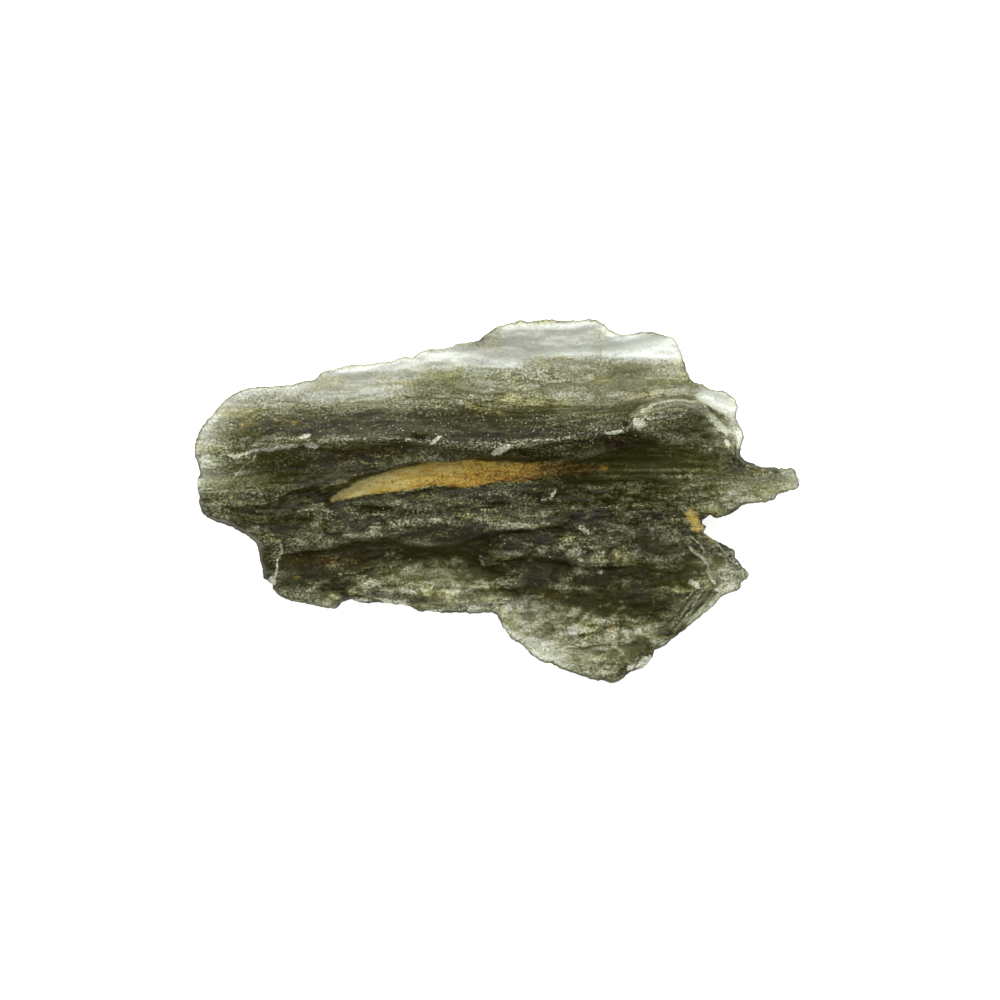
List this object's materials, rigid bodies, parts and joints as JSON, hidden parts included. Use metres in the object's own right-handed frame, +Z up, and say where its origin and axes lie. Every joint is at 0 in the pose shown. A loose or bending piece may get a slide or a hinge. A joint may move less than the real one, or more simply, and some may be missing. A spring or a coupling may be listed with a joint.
{
  "type": "moldavite",
  "caption": "Raw moldavite: a thin, deeply furrowed shard of olive-green natural glass with clear edges, lying on a small flat spot.",
  "frame": {"origin": "middle of the stone's outline, on the surface that it lies on", "axes": "+X along the stone's length and the grain of its furrows, +Y across it towards the thin clear flange, +Z up from the surface that it lies on"},
  "size_m": [0.0242, 0.0144, 0.0055],
  "materials": {
    "glass": "natural etched surface, matt with a fine grain, clear olive green inside and nearly black where thick"
  },
  "bodies": {
    "root": {"moldavite": "glass"}
  },
  "joints": []
}
